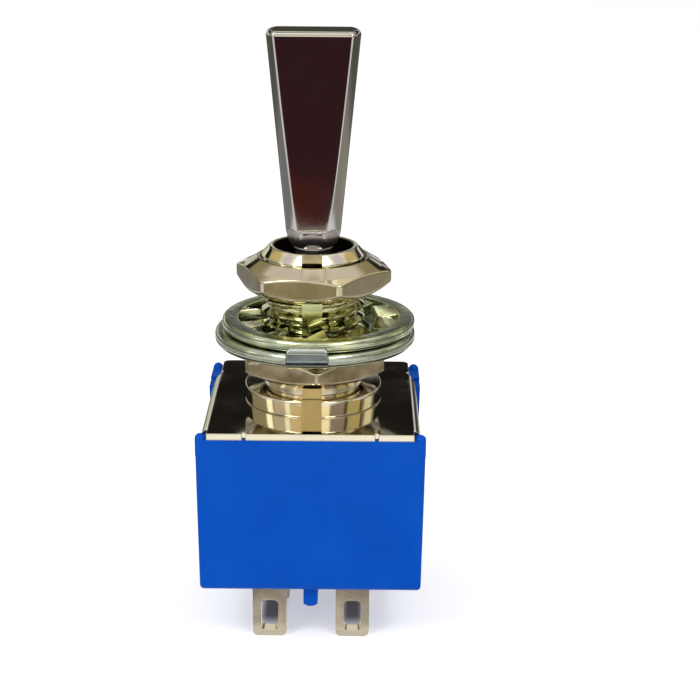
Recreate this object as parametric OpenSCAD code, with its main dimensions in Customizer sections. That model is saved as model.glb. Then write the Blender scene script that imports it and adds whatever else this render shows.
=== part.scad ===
// Miniature double-pole panel toggle switch with a flat lever, standing on its solder lugs.
// Millimetres. +Z runs up the bushing's axis, +X across the two poles, and the lever swings
// along Y. The origin is on the bushing's axis, in the plane of the lug tips.
// Heights inside modules are built up from the lug tips: case floor, case, frame, bushing.

/* [Case] */
// Width of the moulded case, across the two poles
case_w = 12.9; // [12.6:0.1:15]
// Depth of the case, along the lever's swing
case_d = 13.2; // [13:0.1:15]
// Height of the moulded case, under the frame's plate
case_h = 9.3; // [9:0.1:12]
// How far each side of the case leans in towards its floor
case_draft = 0.14; // [0:0.02:0.2]
// Thickness of the case's front and rear walls
case_wall = 0.85; // [0.6:0.05:1]
// Thickness of the case's side walls, behind the frame's straps
side_wall = 0.7; // [0.6:0.05:0.8]
// Thickness of the case's floor
floor_t = 1.6; // [1.2:0.1:1.8]
// Radius on the case's corners and lower edges
case_round = 0.46; // [0.2:0.05:0.5]
// Width of the four corner posts that stand up beside the frame
post_w = 0.62; // [0.5:0.02:0.7]
// How far the posts stand above the frame's plate
post_rise = -0.08; // [-0.16:0.02:0.3]
// Thickness of the barrier wall between the poles
barrier_t = 0.82; // [0.6:0.02:1]
// How far the barrier's rib stands out under the floor
rib_h = 1.1; // [0.6:0.1:2]
// Gap between the barrier wall and the carrier's barrels, seen along Z
barrier_gap = 0.5; // [0.4:0.1:0.8]
// Depth of the snap bosses' faces below the case's sides
boss_inset = 0.08; // [0.04:0.02:0.16]

/* [Frame] */
// Thickness of the folded sheet steel
sheet_t = 0.38; // [0.3:0.02:0.45]
// Outside radius of the folds over the case's sides
fold_r = 0.52; // [0.46:0.02:0.6]
// Inset of the straps' outer faces from the case's sides
strap_inset = 0.28; // [0.2:0.02:0.5]
// Front end of the straps, from the case's centre
strap_front = 5.8; // [5:0.1:5.9]
// Rear end of the straps, from the case's centre
strap_rear = 3.2; // [2.5:0.1:4.5]
// Length over which the folds run out behind the straps
fold_runout = 1.2; // [0.6:0.1:1.4]
// Radius of the plate's rear corners
plate_round = 0.4; // [0.2:0.05:0.6]
// Length of the straps down the case's sides
strap_len = 6.9; // [6:0.1:8]
// Width of the window in each strap that snaps over a boss on the case
window_w = 3.2; // [2:0.1:4]
// Height of that window
window_h = 1.6; // [1:0.1:2]
// Depth of the window's middle below the plate
window_drop = 4.28; // [4:0.02:4.6]
// Spacing of the two relief nicks in the plate's front edge
nick_spacing = 7.4; // [6:0.1:9]
// Width of those nicks
nick_w = 0.22; // [0.1:0.02:0.4]

/* [Bushing] */
// Height of the bushing's mouth above the frame's plate
bushing_h = 9.2; // [8.8:0.05:10]
// Major diameter of the bushing's thread
thread_d = 6; // [6:0.1:6.4]
// Diameter of the relief between the thread and the flange
relief_d = 5.6; // [5.5:0.1:5.8]
// Height of the thread's lower end above the flange
relief_h = 0.55; // [0.3:0.05:0.7]
// Diameter of the round flange on the plate
flange_d = 8; // [7.4:0.1:9]
// Thickness of the flange
flange_h = 0.95; // [0.8:0.05:1]
// Thickness of the lip that is staked over under the plate
staked_h = 0.25; // [0.15:0.05:0.35]
// Diameter of that lip
staked_d = 6.4; // [6.3:0.1:6.8]
// Diameter of the bore at the mouth
mouth_d = 4.55; // [4.5:0.05:4.8]
// Bevel round the bushing's tip
tip_bevel = 0.5; // [0.2:0.05:0.6]
// Width of the keyway in the bushing's front
keyway_w = 1.15; // [0.8:0.05:1.3]
// Depth of the keyway below the thread's crests
keyway_depth = 0.45; // [0.3:0.05:0.5]
// Depth of the lever's pivot below the mouth
pivot_depth = 3.1; // [3:0.05:3.2]
// Height of the ball's seat above the pivot
seat_rise = 0.8; // [0.6:0.05:0.9]
// Depth of the ball's seat below the pivot
seat_drop = 1.3; // [1.1:0.05:1.5]

/* [Nuts and washers] */
// Size across the flats of both hex nuts
nut_af = 8; // [7.6:0.1:8.6]
// How far the nuts' corners are rounded off
nut_corner = 0.05; // [0.02:0.01:0.1]
// Thickness of each nut at its bore
nut_h = 1.95; // [1.7:0.05:2]
// Slope of the cone round the thread on the nuts' outer faces
nut_cone = 32; // [20:1:35]
// Slope of the outer faces from there out to the corners
nut_dome = 13; // [8:1:18]
// Width of the flat land round each nut's bore
nut_land = 0.18; // [0.1:0.02:0.3]
// Diameter of the nuts' flat seat faces
nut_seat_d = 7.2; // [7:0.1:7.6]
// Slope of the chamfer round the seat faces
nut_seat_slope = 32; // [25:1:35]
// Height of the rear nut above the plate
rear_nut_z = 1.5; // [1.4:0.05:1.7]
// Height of the front nut above the plate
front_nut_z = 6.62; // [6.5:0.02:6.8]
// Turn of the front nut's flats away from the front
front_nut_turn = -9; // [-30:1:30]
// Turn of the rear nut's corner away from the front
rear_nut_turn = 4; // [-30:1:30]
// Diameter of the locating ring
ring_d = 11.65; // [11.4:0.05:12.2]
// How far the loose locating ring hangs to one side on the bushing
ring_shift = 0.1; // [0:0.02:0.1]
// Thickness of the locating ring
ring_t = 0.8; // [0.6:0.05:0.85]
// Radius of the ring's rolled edge
ring_roll = 0.25; // [0.1:0.01:0.28]
// Width of the tab turned up at the ring's front
tab_w = 2.25; // [1.5:0.05:3]
// Height of that tab above the ring's underside
tab_h = 1.2; // [1.1:0.05:1.6]
// Thickness of the tab
tab_t = 0.45; // [0.35:0.05:0.5]
// Outside radius of the tab's bend
tab_bend = 0.6; // [0.55:0.05:0.7]
// Diameter of the lock washer
washer_d = 11.2; // [10.8:0.1:11.4]
// Thickness of the lock washer
washer_t = 0.65; // [0.5:0.05:0.7]
// How far the loose lock washer hangs to one side on the bushing
washer_shift = 0.3; // [0:0.05:0.3]
// Radius of the lock washer's rolled edge
washer_roll = 0.2; // [0.1:0.02:0.22]
// Number of teeth inside the lock washer
tooth_count = 10; // [8:1:12]
// Share of the rim's inside that the teeth stand on
tooth_share = 0.44; // [0.35:0.01:0.48]
// Thickness of each tooth
tooth_t = 0.48; // [0.35:0.01:0.55]
// Twist of each tooth about its own length
tooth_twist = 24; // [15:1:28]

/* [Lever] */
// Length of the lever above the bushing's mouth
lever_len = 12.25; // [10:0.05:14]
// Diameter of the lever's blank at the mouth
lever_root_d = 3; // [2.9:0.05:3.1]
// Diameter of the lever's blank at its tip
lever_tip_d = 5.35; // [4.4:0.05:5.7]
// Thickness across the lever's milled flats
lever_t = 2.8; // [2:0.05:2.85]
// Height above the mouth at which the flats begin
flat_start = 1.1; // [0.8:0.05:2]
// Height above the mouth of the collar's lower edge
collar_z = 0.2; // [0.1:0.05:0.4]
// Height of the cone under the collar
collar_h = 0.5; // [0.3:0.05:0.6]
// Diameter of the neck between the collar and the ball
neck_d = 2.4; // [2:0.1:2.5]
// Radius of the rounding at the lever's tip
tip_round = 0.38; // [0.2:0.02:0.6]
// Diameter of the ball that the lever turns on
ball_d = 3.9; // [3.7:0.05:3.9]
// Diameter of the lever's tail below the ball
tail_d = 1.8; // [1.4:0.1:1.8]
// Diameter of the cross pin
pin_d = 1; // [0.8:0.05:1]
// Swing of the lever to each side
throw = 12.5; // [10:0.5:12.5]

/* [Terminals and contacts] */
// Spacing of the two poles
pole_pitch = 4.83; // [4.7:0.01:5]
// Spacing of the three rows of lugs
row_pitch = 4.7; // [4.6:0.05:4.8]
// Length of the lugs under the case
lug_len = 3.5; // [3:0.1:6]
// Width of the lugs
lug_w = 1.95; // [1.6:0.05:2]
// Thickness of the lugs
lug_t = 0.75; // [0.6:0.05:0.8]
// Width of the slot in each lug
slot_w = 1; // [0.7:0.05:1.2]
// Length of that slot
slot_len = 1.9; // [1.4:0.1:2.2]
// Height of the slot above the lug's tip
slot_z = 0.38; // [0.3:0.02:0.6]
// Radius of the lugs' lower corners
lug_round = 0.35; // [0.2:0.05:0.5]
// Radius of the slots' corners
slot_round = 0.28; // [0.1:0.02:0.34]
// Width of the shelf that carries each fixed contact
shelf_w = 2.5; // [2.2:0.1:2.8]
// Margin of the shelf's inner end beyond that contact
shelf_margin = 0.15; // [0.05:0.05:0.25]
// Diameter of the fixed silver contacts
pad_d = 1.5; // [1.2:0.1:1.6]
// Height of the fixed silver contacts
pad_h = 0.35; // [0.2:0.05:0.5]
// Height of the bumps under the rockers' ends
bump_h = 0.3; // [0.2:0.05:0.4]
// Diameter of those bumps
bump_d = 1; // [0.8:0.1:1.2]
// Distance of the contacts from the rocker's pivot
contact_reach = 3.9; // [3.7:0.05:4]
// Width of the rocker blades
rocker_w = 2.2; // [1.8:0.1:2.4]
// Margin of the rocker blades beyond their bumps
rocker_margin = 0.1; // [0.05:0.05:0.2]
// Width of the rockers' waist, between the ears of the common terminal
waist_w = 1.5; // [1.2:0.1:1.6]
// Length of that waist
waist_len = 1.6; // [1.4:0.1:2]
// Thickness of the rocker blades
rocker_t = 0.4; // [0.3:0.05:0.5]
// Rise of each rocker's arms from its trough
arm_rise = 9; // [8:0.5:9.5]
// Tilt of the rockers when a contact closes
rocker_tilt = 7; // [6:0.5:8]
// Height of the ears that keep a rocker on its common terminal
ear_h = 0.75; // [0.6:0.05:0.9]
// Width of each ear
ear_w = 0.6; // [0.4:0.05:0.7]

/* [Carrier, plungers and springs] */
// Wall of the carrier's hub round the lever's tail
hub_wall = 0.6; // [0.4:0.05:0.8]
// Depth of the lever's tail in the hub
hub_grip = 2; // [1.5:0.1:2.4]
// Thickness of the web that joins the hub to the barrels
web_t = 1.5; // [1:0.1:1.8]
// Height of the web's lower edge above the barrels' mouths
web_rise = 0.4; // [0.2:0.1:0.6]
// Wall round the plunger in each barrel
barrel_wall = 0.45; // [0.35:0.05:0.5]
// Thickness of the cap over each barrel's spring
barrel_cap = 0.35; // [0.25:0.05:0.45]
// Diameter of the plungers
plunger_d = 1.7; // [1.4:0.1:1.8]
// Diameter of the plungers' round tips
plunger_tip_d = 1.1; // [0.8:0.05:1.2]
// Length of the plungers, from shoulder to tip
plunger_len = 2.6; // [2.4:0.1:2.8]
// How far the plungers stand out under the barrels
plunger_reach = 1.4; // [1.2:0.1:1.6]
// Travel of the plungers against their springs
plunger_travel = 0.5; // [0.3:0.1:0.5]
// Diameter of the plungers' spigots, inside the springs
spigot_d = 0.7; // [0.5:0.05:0.8]
// Length of the spigots
spigot_len = 0.5; // [0.3:0.1:0.8]
// Diameter of the springs' wire
wire_d = 0.24; // [0.16:0.02:0.26]
// Number of turns in each spring
spring_turns = 4; // [3:1:5]

/* [Fits] */
// Gap between parts that slide or turn in each other
run_gap = 0.05; // [0.02:0.01:0.06]
// Gap round parts that are pressed or moulded together
fit_gap = 0.01; // [0.005:0.005:0.02]
// Gap between contacts that meet at the end of the throw
contact_gap = 0.04; // [0.02:0.01:0.08]
// Gap between a plunger's tip and the rocker's trough
tip_gap = 0.1; // [0.1:0.01:0.14]

/* [Hidden] */
$fn = 48;
floor_z = lug_len + floor_t;
case_top = lug_len + case_h;
plate_z = case_top + sheet_t;
mouth_z = plate_z + bushing_h;
pivot_z = mouth_z - pivot_depth;
pole_x = pole_pitch / 2;

// Contacts, from the fixed pads up to the plunger's tip
pad_top = floor_z + lug_t + pad_h;
closed_rise = arm_rise - rocker_tilt;
closed_drop = contact_reach * sin(closed_rise) - bump_d / 2 * abs(sin(closed_rise))
    + (run_gap - bump_h) * cos(closed_rise);
rocker_z = pad_top + contact_gap - closed_drop;
trough_z = rocker_z + run_gap + rocker_t / cos(arm_rise);
plunger_z = trough_z + tip_gap;

// Carrier's barrels and what slides in them, with room in the bores for the closed springs
barrel_z = plunger_z + plunger_reach;
barrel_r = plunger_d / 2 + run_gap + barrel_wall;
shoulder_z = plunger_z + plunger_len;
bore_top = shoulder_z + wire_d * (spring_turns + 1) + plunger_travel + 2 * run_gap;

// Carrier's hub: at the end of the throw its edge swings up to just under the bushing's staked lip
staked_z = case_top - staked_h;
hub_r = tail_d / 2 + hub_wall;
hub_drop = (pivot_z - staked_z + 2 * run_gap + hub_r * sin(throw)) / cos(throw);
hub_top = pivot_z - hub_drop;
tail_z = hub_top - hub_grip;

// Frame and case sides
strap_x = case_w / 2 - strap_inset;
fold_inner_r = fold_r - sheet_t;
flat_x = strap_x - fold_r;
fold_end = strap_rear + fold_runout;
recess_x = strap_x - sheet_t - run_gap;
cavity_x = recess_x - side_wall;
cavity_y = case_d / 2 - case_wall;
window_z = plate_z - window_drop;

// Bushing: its thread outside, and inside the mouth, ball seat and the flare for the lever's tail
thread_r = thread_d / 2;
mouth_r = mouth_d / 2;
seat_r = ball_d / 2 + run_gap;
flare_r = (pivot_z - staked_z) * tan(throw) + tail_d / 2 / cos(throw) + run_gap;
keyway_r = thread_r - keyway_depth;
slot_r = keyway_r + 0.02;

// Nuts and washers, seated one on the next up the thread
nut_r = nut_af / 2 / cos(30);
nut_bore_r = thread_r + run_gap;
ring_bore_r = thread_r + run_gap + ring_shift;
tooth_tip_r = thread_r + run_gap + washer_shift;
ring_z = plate_z + rear_nut_z + nut_h + run_gap;
washer_z = ring_z + ring_t + run_gap;
rim_r = nut_r + run_gap;

case();
frame();
bushing();
front_nut();
rear_nut();
lock_washer();
locating_ring();
lever();
pivot_pin();
carrier();
plunger(-pole_x);  // left_plunger
plunger(pole_x);  // right_plunger
spring(-pole_x);  // left_spring
spring(pole_x);  // right_spring
rocker(-pole_x);  // left_rocker
rocker(pole_x);  // right_rocker
common_terminal(-pole_x);  // left_common
common_terminal(pole_x);  // right_common
end_terminal(-pole_x, -1);  // left_front_terminal
end_terminal(pole_x, -1);  // right_front_terminal
end_terminal(-pole_x, 1);  // left_rear_terminal
end_terminal(pole_x, 1);  // right_rear_terminal
fixed_contact(-pole_x, -1);  // left_front_contact
fixed_contact(pole_x, -1);  // right_front_contact
fixed_contact(-pole_x, 1);  // left_rear_contact
fixed_contact(pole_x, 1);  // right_rear_contact

// ---------------------------------------------------------------- shared shapes

// A block centred on X and Y that stands on its base.
module block(size) {
    translate([-size[0] / 2, -size[1] / 2, 0]) cube(size);
}

// A profile drawn in Y (first) and Z (second), drawn out along X about its middle.
module along_x(width) {
    translate([-width / 2, 0, 0]) rotate([90, 0, 90]) linear_extrude(width) children();
}

// A profile drawn in X (first) and Z (second), drawn out along Y between two places.
module along_y(from, to) {
    translate([0, to, 0]) rotate([90, 0, 0]) linear_extrude(to - from) children();
}

// A flat rounded rectangle, centred.
module rounded_rect(w, h, r) {
    square([w - 2 * r, h], center = true);
    square([w, h - 2 * r], center = true);
    for (x = [-1, 1], y = [-1, 1])
        translate([x * (w / 2 - r), y * (h / 2 - r)]) circle(r);
}

// ---------------------------------------------------------------- case

// Drafted outline of the case seen from one side, with rounded lower corners.
module case_profile(w) {
    low_x = w / 2 - case_draft;
    low_z = lug_len + case_round;
    polygon([[-w / 2, case_top], [w / 2, case_top], [low_x, low_z], [-low_x, low_z]]);
    translate([case_round - low_x, lug_len]) square([2 * (low_x - case_round), 2 * case_round]);
    for (side = [-1, 1])
        translate([side * (low_x - case_round), low_z]) circle(case_round);
}

// Outside of the case: the two side outlines crossed, with its upright edges rounded.
module case_shell() {
    intersection() {
        along_x(2 * case_w) case_profile(case_d);
        along_y(-case_d, case_d) case_profile(case_w);
        linear_extrude(case_top) rounded_rect(case_w, case_d, case_round);
    }
}

// Corner post beside the frame, with a rounded top.
module case_post(side_x, side_y) {
    r = post_w / 2;
    post_z = plate_z + post_rise - r;
    translate([side_x * (case_w / 2 - r), side_y * (case_d / 2 - r), 0]) {
        translate([0, 0, case_top - 1]) cylinder(r = r, h = post_z - case_top + 1);
        translate([0, 0, post_z]) sphere(r = r);
    }
}

// Recess in which a strap lies, with its upper edge cut back under the frame's fold.
module strap_recess() {
    low_z = plate_z - strap_len - run_gap;
    along_y(-strap_front - run_gap, strap_rear + run_gap)
        polygon([
            [recess_x, low_z], [case_w, low_z], [case_w, case_top + 1],
            [recess_x - fold_inner_r, case_top + 1], [recess_x - fold_inner_r, case_top],
            [recess_x, case_top - fold_inner_r]
        ]);
}

// Boss with a sloped top, over which a strap's window snaps.
module snap_boss() {
    root_x = recess_x - side_wall / 2;
    proud_x = case_w / 2 - boss_inset;
    h = window_h - 2 * run_gap;
    along_y(-window_w / 2 + run_gap, window_w / 2 - run_gap)
        polygon([
            [root_x, window_z - h / 2], [proud_x, window_z - h / 2],
            [proud_x, window_z], [root_x, window_z + h / 2]
        ]);
}

// Rib under the floor between the poles, with a pointed lower edge.
module barrier_rib() {
    end_y = case_d / 2 - case_draft - case_round;
    root_z = lug_len + floor_t / 2;
    edge_z = lug_len - rib_h;
    edge_x = barrier_t / 6;
    along_y(-end_y, end_y)
        polygon([
            [-barrier_t / 2, root_z], [-barrier_t / 2, edge_z + edge_x], [-edge_x, edge_z],
            [edge_x, edge_z], [barrier_t / 2, edge_z + edge_x], [barrier_t / 2, root_z]
        ]);
}

module case() {
    color([0, 0.33, 0.75]) {
        difference() {
            case_shell();
            translate([0, 0, floor_z]) block([2 * cavity_x, 2 * cavity_y, case_h]);
            for (side = [0, 1])
                mirror([side, 0, 0]) {
                    strap_recess();
                    // clear of the fold's run-out behind the strap
                    translate([flat_x - run_gap, 0, plate_z - fold_r - run_gap])
                        cube([case_w, fold_end + run_gap, fold_r]);
                }
            // slots for the six terminals
            for (x = [-1, 1], y = [-1, 0, 1])
                translate([x * pole_x, y * row_pitch, 0])
                    block([lug_w + 2 * run_gap, lug_t + 2 * run_gap, floor_z + 1]);
        }
        // barrier wall between the poles, up to just under the carrier
        root_z = floor_z - floor_t / 2;
        translate([0, 0, root_z])
            block([barrier_t, 2 * cavity_y + case_wall, barrel_z - barrier_gap - root_z]);
        barrier_rib();
        for (x = [-1, 1], y = [-1, 1]) case_post(x, y);
        snap_boss();
        mirror([1, 0, 0]) snap_boss();
    }
}

// ---------------------------------------------------------------- frame

// Flat plate: as wide as the folds allow, narrowed between the posts, with round rear corners.
module plate_outline() {
    post_x = case_w / 2 - post_w - run_gap;
    straight_y = case_d / 2 - plate_round;
    difference() {
        union() {
            translate([-post_x, -case_d / 2]) square([2 * post_x, case_d / 2 + straight_y]);
            for (side = [-1, 1])
                translate([side * (post_x - plate_round), straight_y]) circle(plate_round);
            translate([plate_round - post_x, 0]) square([2 * (post_x - plate_round), case_d / 2]);
        }
        for (side = [-1, 1]) {
            // the folds take over from the flat along the straps
            translate([side * (flat_x + case_w / 2), (fold_end - strap_front) / 2])
                square([case_w, fold_end + strap_front], center = true);
            translate([side * nick_spacing / 2, -case_d / 2]) square([nick_w, 2 * nick_w], center = true);
        }
    }
}

// Quarter-round fold from the plate down into the right strap, seen along Y.
module fold_profile() {
    translate([flat_x, plate_z - fold_r])
        intersection() {
            difference() {
                circle(fold_r);
                circle(fold_inner_r);
            }
            square(fold_r);
        }
}

// Right strap, with a fold that runs out slantwise behind it.
module strap() {
    low_z = plate_z - strap_len;
    difference() {
        union() {
            along_y(-strap_front, fold_end) fold_profile();
            translate([strap_x - sheet_t, -strap_front, low_z])
                cube([sheet_t, strap_front + strap_rear, strap_len - fold_r]);
        }
        translate([strap_x, 0, window_z - window_h / 2]) block([2, window_w, window_h]);
        translate([0, 0, low_z])
            linear_extrude(strap_len + 1)
                polygon([
                    [strap_x, strap_rear], [case_w, strap_rear], [case_w, case_d],
                    [flat_x, case_d], [flat_x, fold_end]
                ]);
    }
}

module frame() {
    color([0.55, 0.54, 0.5]) {
        translate([0, 0, case_top])
            linear_extrude(sheet_t)
                difference() {
                    plate_outline();
                    circle(thread_r);
                }
        strap();
        mirror([1, 0, 0]) strap();
    }
}

// ---------------------------------------------------------------- bushing

// Half section: mouth, ball seat and flare inside; thread, relief, flange and staked lip outside.
module bushing_section() {
    edge = 0.1;
    taper_h = 0.6;
    neck_r = thread_r - fit_gap;
    relief_r = relief_d / 2;
    flange_r = flange_d / 2;
    flange_z = plate_z + flange_h;
    polygon([
        [mouth_r + edge / 2, mouth_z], [mouth_r, mouth_z - edge / 2],
        [mouth_r, pivot_z + seat_rise + taper_h], [seat_r, pivot_z + seat_rise],
        [seat_r, pivot_z - seat_drop], [flare_r, flange_z], [flare_r, staked_z],
        [staked_d / 2, staked_z], [staked_d / 2, case_top], [neck_r, case_top],
        [neck_r, plate_z], [flange_r - edge, plate_z],
        [flange_r, plate_z + edge], [flange_r, flange_z - edge],
        [flange_r - edge, flange_z], [relief_r, flange_z],
        [relief_r, flange_z + relief_h], [thread_r, flange_z + relief_h + thread_r - relief_r],
        [thread_r, mouth_z - tip_bevel], [thread_r - tip_bevel, mouth_z]
    ]);
}

// Slot inside the wall that the cross pin's end rises in, round at its top.
module pin_slot() {
    r = pin_d / 2 + run_gap;
    rotate([90, 0, 90]) linear_extrude(slot_r) {
        translate([0, pivot_z]) circle(r);
        translate([-r, 0]) square([2 * r, pivot_z]);
    }
}

module bushing() {
    color([0.78, 0.74, 0.6])
        difference() {
            rotate_extrude() bushing_section();
            pin_slot();
            mirror([1, 0, 0]) pin_slot();
            // keyway down the front of the thread, and its run-out across the flange
            translate([0, -keyway_r - thread_d / 2, plate_z + flange_h])
                block([keyway_w, thread_d, bushing_h]);
            translate([0, -flange_d / 2, plate_z - 1])
                block([keyway_w, 2 * keyway_depth, flange_h + 2]);
        }
}

// ---------------------------------------------------------------- nuts and washers

// Hex nut with a cone and a shallow dome on its outer face, and a chamfered seat face.
module hex_nut() {
    out_r = nut_r + 0.1;
    cone_in_r = nut_bore_r + nut_land;
    cone_out_r = nut_af / 2 - 0.05;
    cone_drop = (cone_out_r - cone_in_r) * tan(nut_cone);
    dome_drop = (out_r - cone_out_r) * tan(nut_dome);
    seat_r = nut_seat_d / 2;
    difference() {
        intersection() {
            cylinder(r = nut_r, h = nut_h, $fn = 6);
            cylinder(r = nut_r - nut_corner, h = nut_h);
            rotate_extrude()
                polygon([
                    [0, 0], [seat_r, 0], [out_r, (out_r - seat_r) * tan(nut_seat_slope)],
                    [out_r, nut_h - cone_drop - dome_drop], [cone_out_r, nut_h - cone_drop],
                    [cone_in_r, nut_h], [0, nut_h]
                ]);
        }
        translate([0, 0, -1]) cylinder(r = nut_bore_r, h = nut_h + 2);
    }
}

module front_nut() {
    color([0.72, 0.68, 0.55])
        translate([0, 0, plate_z + front_nut_z]) rotate(front_nut_turn) hex_nut();
}

// The rear nut lies the other way up, with its seat under the washers and a corner to the front.
module rear_nut() {
    color([0.72, 0.68, 0.58])
        translate([0, 0, plate_z + rear_nut_z + nut_h]) rotate([180, 0, 30 + rear_nut_turn]) hex_nut();
}

// Rim of a stamped ring, with rolled-over edges.
module rolled_ring(inner_r, outer_r, t, roll) {
    rotate_extrude() {
        translate([inner_r, 0]) square([outer_r - inner_r - roll, t]);
        translate([outer_r - roll - 0.01, roll]) square([roll + 0.01, t - 2 * roll]);
        for (z = [roll, t - roll])
            translate([outer_r - roll, z]) circle(roll, $fn = 32);
    }
}

// One tooth, lying along X and twisted about its own length.
module washer_tooth() {
    tooth_w = 2 * PI * rim_r / tooth_count * tooth_share;
    translate([tooth_tip_r, 0, washer_t / 2]) rotate([tooth_twist, 0, 0])
        translate([0, -tooth_w / 2, -tooth_t / 2])
            cube([rim_r - tooth_tip_r + 0.2, tooth_w, tooth_t]);
}

module lock_washer() {
    color([0.62, 0.65, 0.5])
        translate([washer_shift, 0, washer_z]) {
            rolled_ring(rim_r, washer_d / 2, washer_t, washer_roll);
            intersection() {
                union() {
                    for (i = [0 : tooth_count - 1])
                        rotate(360 / tooth_count * (i + 0.5)) washer_tooth();
                }
                translate([0, 0, run_gap]) cylinder(r = rim_r + 0.1, h = washer_t - 2 * run_gap);
            }
        }
}

// Tab turned up at the ring's edge, seen along X: a short tongue, a bend and an upright leg.
module tab_profile() {
    face_y = -washer_d / 2 - run_gap - tab_t;
    translate([face_y + tab_bend, tab_bend])
        intersection() {
            difference() {
                circle(tab_bend);
                circle(tab_bend - tab_t);
            }
            translate([-tab_bend, -tab_bend]) square(tab_bend);
        }
    translate([face_y + tab_bend, 0]) square([1, tab_t]);
    translate([face_y, tab_bend]) square([tab_t, tab_h - tab_bend]);
}

module locating_ring() {
    color([0.6, 0.62, 0.56])
        translate([ring_shift, 0, ring_z]) {
            difference() {
                rolled_ring(ring_bore_r, ring_d / 2, ring_t, ring_roll);
                // flat behind the tab, so that the tab's leg stands clear of the rim
                flat_y = 0.1 - ring_d / 2;
                translate([0, flat_y - ring_d / 2, -1]) block([tab_w + 0.2, ring_d, ring_t + 2]);
            }
            along_x(tab_w) tab_profile();
            // inner key that rides in the bushing's keyway
            key_w = keyway_w - 2 * (run_gap + ring_shift);
            key_root = ring_bore_r + 0.2;
            translate([-key_w / 2, -key_root, 0]) cube([key_w, key_root - keyway_r - run_gap, ring_t]);
        }
}

// ---------------------------------------------------------------- lever and its pin

// Turned blank: tail, ball, neck and the long cone up to the rounded tip.
module lever_blank() {
    root_r = lever_root_d / 2;
    tip_r = lever_tip_d / 2;
    tip_z = mouth_z + lever_len;
    slope = (tip_r - root_r) / lever_len;
    shoulder_r = tip_r - slope * tip_round;
    rotate_extrude() {
        polygon([
            [0, tail_z], [tail_d / 2, tail_z], [tail_d / 2, pivot_z],
            [neck_d / 2, pivot_z + ball_d / 4], [neck_d / 2, mouth_z + collar_z - collar_h],
            [root_r, mouth_z + collar_z],
            [shoulder_r, tip_z - tip_round], [shoulder_r - tip_round, tip_z - tip_round],
            [shoulder_r - tip_round, tip_z], [0, tip_z]
        ]);
        translate([shoulder_r - tip_round, tip_z - tip_round])
            intersection() {
                circle(tip_round);
                square(tip_round);
            }
    }
    translate([0, 0, pivot_z]) sphere(d = ball_d);
}

// What the milling cutters leave: full round below the flats, a slab with a rounded top above.
module lever_envelope() {
    tip_z = mouth_z + lever_len;
    flats_z = mouth_z + flat_start;
    along_x(2 * lever_tip_d) {
        translate([-lever_t / 2, flats_z - 0.01]) square([lever_t, tip_z - tip_round - flats_z + 0.01]);
        translate([-lever_t / 2 + tip_round, flats_z]) square([lever_t - 2 * tip_round, tip_z - flats_z]);
        for (side = [-1, 1])
            translate([side * (lever_t / 2 - tip_round), tip_z - tip_round]) circle(tip_round);
    }
    block([2 * lever_tip_d, 2 * lever_tip_d, flats_z]);
}

module lever() {
    color([0.5, 0.46, 0.47])
        difference() {
            intersection() {
                lever_blank();
                lever_envelope();
            }
            translate([-ball_d, 0, pivot_z]) rotate([0, 90, 0])
                cylinder(r = pin_d / 2 + fit_gap, h = 2 * ball_d);
        }
}

module pivot_pin() {
    pin_len = 2 * (slot_r - run_gap);
    color([0.7, 0.7, 0.72])
        translate([-pin_len / 2, 0, pivot_z]) rotate([0, 90, 0]) cylinder(d = pin_d, h = pin_len);
}

// ---------------------------------------------------------------- carrier, plungers and springs

// Nylon cradle: a hub on the lever's tail and a barrel over each rocker, joined by a web.
module carrier() {
    web_z = barrel_z + web_rise;
    barrel_top = bore_top + barrel_cap;
    color([0.9, 0.88, 0.8])
        difference() {
            union() {
                translate([0, 0, web_z]) cylinder(r = hub_r, h = hub_top - web_z);
                for (x = [-pole_x, pole_x])
                    translate([x, 0, barrel_z]) cylinder(r = barrel_r, h = barrel_top - barrel_z);
                translate([0, 0, web_z]) block([pole_pitch, web_t, bore_top - web_z]);
            }
            translate([0, 0, tail_z - fit_gap]) cylinder(r = tail_d / 2 + fit_gap, h = hub_grip + 1);
            for (x = [-pole_x, pole_x])
                translate([x, 0, barrel_z - 1])
                    cylinder(r = plunger_d / 2 + run_gap, h = bore_top - barrel_z + 1);
        }
}

// Plunger with a round tip below and a spigot inside its spring above.
module plunger(x) {
    r = plunger_d / 2;
    tip_r = plunger_tip_d / 2;
    color([0.92, 0.92, 0.9])
        translate([x, 0, 0]) {
            rotate_extrude()
                polygon([
                    [0, plunger_z + tip_r], [tip_r, plunger_z + tip_r],
                    [r, plunger_z + r + 0.1], [r, shoulder_z],
                    [spigot_d / 2, shoulder_z], [spigot_d / 2, shoulder_z + spigot_len],
                    [0, shoulder_z + spigot_len]
                ]);
            translate([0, 0, plunger_z + tip_r]) sphere(r = tip_r);
        }
}

// Round-wire helix: rings of points along the wire, joined by quads and capped at its ends.
module coil(coil_r, wire_r, height, turns) {
    sides = 8;
    steps = 14 * turns;
    rise = (height - 2 * wire_r) / steps;
    points = [
        for (i = [0 : steps], j = [0 : sides - 1])
            let (a = 360 * turns * i / steps, b = 360 * j / sides, r = coil_r + wire_r * cos(b))
                [r * cos(a), r * sin(a), wire_r + rise * i + wire_r * sin(b)]
    ];
    walls = [
        for (i = [0 : steps - 1], j = [0 : sides - 1])
            let (k = (j + 1) % sides)
                [i * sides + j, (i + 1) * sides + j, (i + 1) * sides + k, i * sides + k]
    ];
    first_cap = [for (j = [0 : sides - 1]) j];
    last_cap = [for (j = [sides - 1 : -1 : 0]) steps * sides + j];
    polyhedron(points, concat([first_cap], walls, [last_cap]));
}

module spring(x) {
    coil_r = plunger_d / 2 - wire_d / 2 - run_gap;
    color([0.7, 0.7, 0.68])
        translate([x, 0, shoulder_z + fit_gap])
            coil(coil_r, wire_d / 2, bore_top - shoulder_z - 2 * fit_gap, spring_turns);
}

// ---------------------------------------------------------------- contacts

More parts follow.
